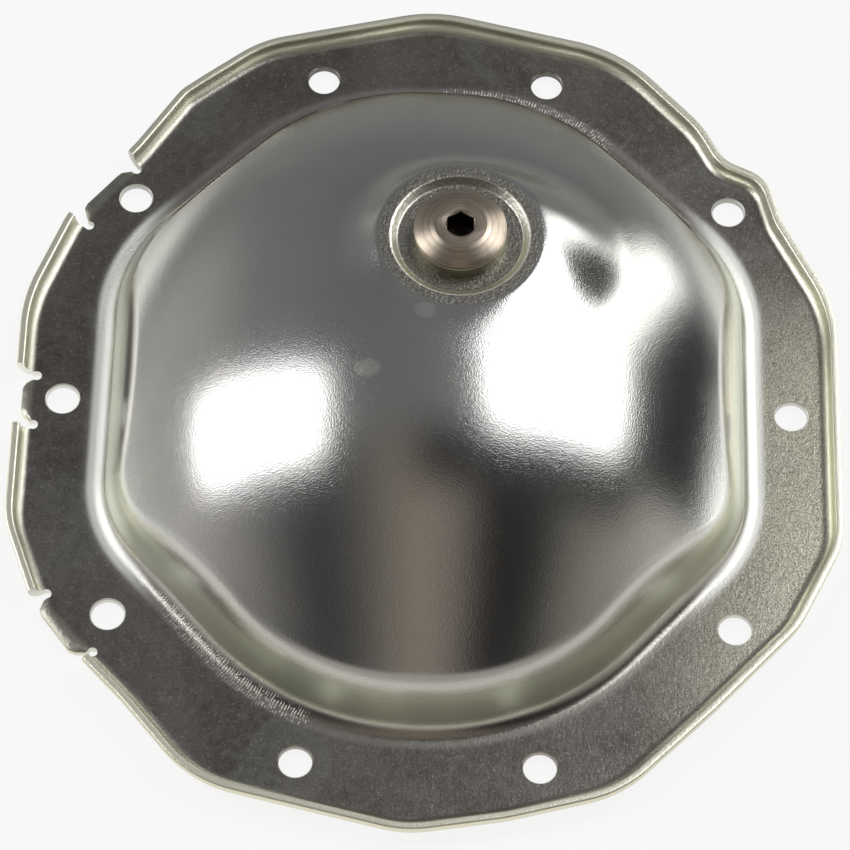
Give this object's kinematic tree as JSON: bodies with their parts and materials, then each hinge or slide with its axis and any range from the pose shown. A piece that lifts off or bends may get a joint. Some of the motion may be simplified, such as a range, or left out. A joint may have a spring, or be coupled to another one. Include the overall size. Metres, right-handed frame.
{
  "type": "differential cover",
  "caption": "Deep pressed steel cover for the back of a rear axle housing, with a turned-up edge, flat bolt flange and a hexagon socket fill plug in a raised pad.",
  "frame": {"origin": "centre of the ten-bolt pattern on the gasket face", "axes": "+Z out of the gasket face towards the crest of the dome, +Y towards the end nearer the fill plug, +X to the right when looking at the dome with +Y up"},
  "size_m": [0.2306, 0.263, 0.0577],
  "materials": {
    "zinc_sheet": "bright zinc plating over pressed sheet, satin on the flange",
    "zinc_boss": "zinc plating with a slight yellow-green tint",
    "turned_steel": "plain turned steel with round tool marks"
  },
  "bodies": {
    "root": {"cover": "zinc_sheet", "fill_boss": "zinc_boss", "fill_plug": "turned_steel"}
  },
  "joints": []
}
